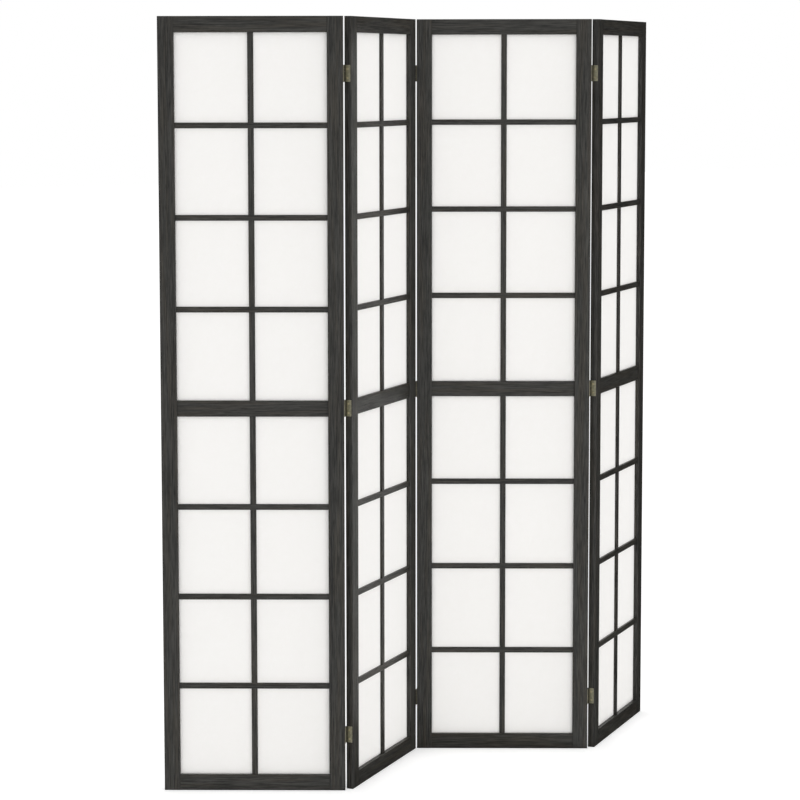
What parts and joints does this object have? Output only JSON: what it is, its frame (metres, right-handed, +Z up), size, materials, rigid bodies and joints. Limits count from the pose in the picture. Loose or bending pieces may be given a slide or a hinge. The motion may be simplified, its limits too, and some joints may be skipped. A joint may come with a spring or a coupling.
{
  "type": "folding screen",
  "caption": "Folding room divider: tall panels of dark stained wood lattice over white paper, hinged edge to edge with brass butt hinges so that it stands in a zigzag.",
  "frame": {"origin": "on the floor, at the middle of the zigzag's width and depth", "axes": "+Z up, +X along the zigzag from the first panel to the last, fronts of the panels towards -Y"},
  "size_m": [1.3548, 0.2418, 1.7],
  "materials": {
    "stained_wood": "satin black stain",
    "bare_wood": "bare",
    "paper": "matte",
    "aged_brass": "aged",
    "screw_brass": "aged"
  },
  "bodies": {
    "panel_1": {"panel_1_left_stile": "stained_wood", "panel_1_right_stile": "stained_wood", "panel_1_bottom_rail": "stained_wood", "panel_1_middle_rail": "stained_wood", "panel_1_top_rail": "stained_wood", "panel_1_lattice_uprights": "stained_wood", "panel_1_lattice_crossbars": "stained_wood", "panel_1_retaining_beads": "stained_wood", "panel_1_lower_paper": "paper", "panel_1_upper_paper": "paper", "panel_1_dowels": "bare_wood", "hinges_1_2_left_leaves": "aged_brass", "hinges_1_2_pins": "aged_brass", "hinges_1_2_left_screws": "screw_brass"},
    "panel_2": {"panel_2_left_stile": "stained_wood", "panel_2_right_stile": "stained_wood", "panel_2_bottom_rail": "stained_wood", "panel_2_middle_rail": "stained_wood", "panel_2_top_rail": "stained_wood", "panel_2_lattice_uprights": "stained_wood", "panel_2_lattice_crossbars": "stained_wood", "panel_2_retaining_beads": "stained_wood", "panel_2_lower_paper": "paper", "panel_2_upper_paper": "paper", "panel_2_dowels": "bare_wood", "hinges_1_2_right_leaves": "aged_brass", "hinges_1_2_right_screws": "screw_brass", "hinges_2_3_left_leaves": "aged_brass", "hinges_2_3_pins": "aged_brass", "hinges_2_3_left_screws": "screw_brass"},
    "panel_3": {"panel_3_left_stile": "stained_wood", "panel_3_right_stile": "stained_wood", "panel_3_bottom_rail": "stained_wood", "panel_3_middle_rail": "stained_wood", "panel_3_top_rail": "stained_wood", "panel_3_lattice_uprights": "stained_wood", "panel_3_lattice_crossbars": "stained_wood", "panel_3_retaining_beads": "stained_wood", "panel_3_lower_paper": "paper", "panel_3_upper_paper": "paper", "panel_3_dowels": "bare_wood", "hinges_2_3_right_leaves": "aged_brass", "hinges_2_3_right_screws": "screw_brass", "hinges_3_4_left_leaves": "aged_brass", "hinges_3_4_pins": "aged_brass", "hinges_3_4_left_screws": "screw_brass"},
    "panel_4": {"panel_4_left_stile": "stained_wood", "panel_4_right_stile": "stained_wood", "panel_4_bottom_rail": "stained_wood", "panel_4_middle_rail": "stained_wood", "panel_4_top_rail": "stained_wood", "panel_4_lattice_uprights": "stained_wood", "panel_4_lattice_crossbars": "stained_wood", "panel_4_retaining_beads": "stained_wood", "panel_4_lower_paper": "paper", "panel_4_upper_paper": "paper", "panel_4_dowels": "bare_wood", "hinges_3_4_right_leaves": "aged_brass", "hinges_3_4_right_screws": "screw_brass"}
  },
  "joints": [
    {"name": "fold_1_2", "type": "hinge", "parent": "panel_1", "child": "panel_2", "pos_m": [-0.33958, -0.10882, 0.85], "axis": [0, 0, 1], "range_deg": [-70, 110]},
    {"name": "fold_2_3", "type": "hinge", "parent": "panel_2", "child": "panel_3", "pos_m": [0, 0.10882, 0.85], "axis": [0, 0, -1], "range_deg": [-70, 110]},
    {"name": "fold_3_4", "type": "hinge", "parent": "panel_3", "child": "panel_4", "pos_m": [0.33958, -0.10882, 0.85], "axis": [0, 0, 1], "range_deg": [-70, 110]}
  ]
}
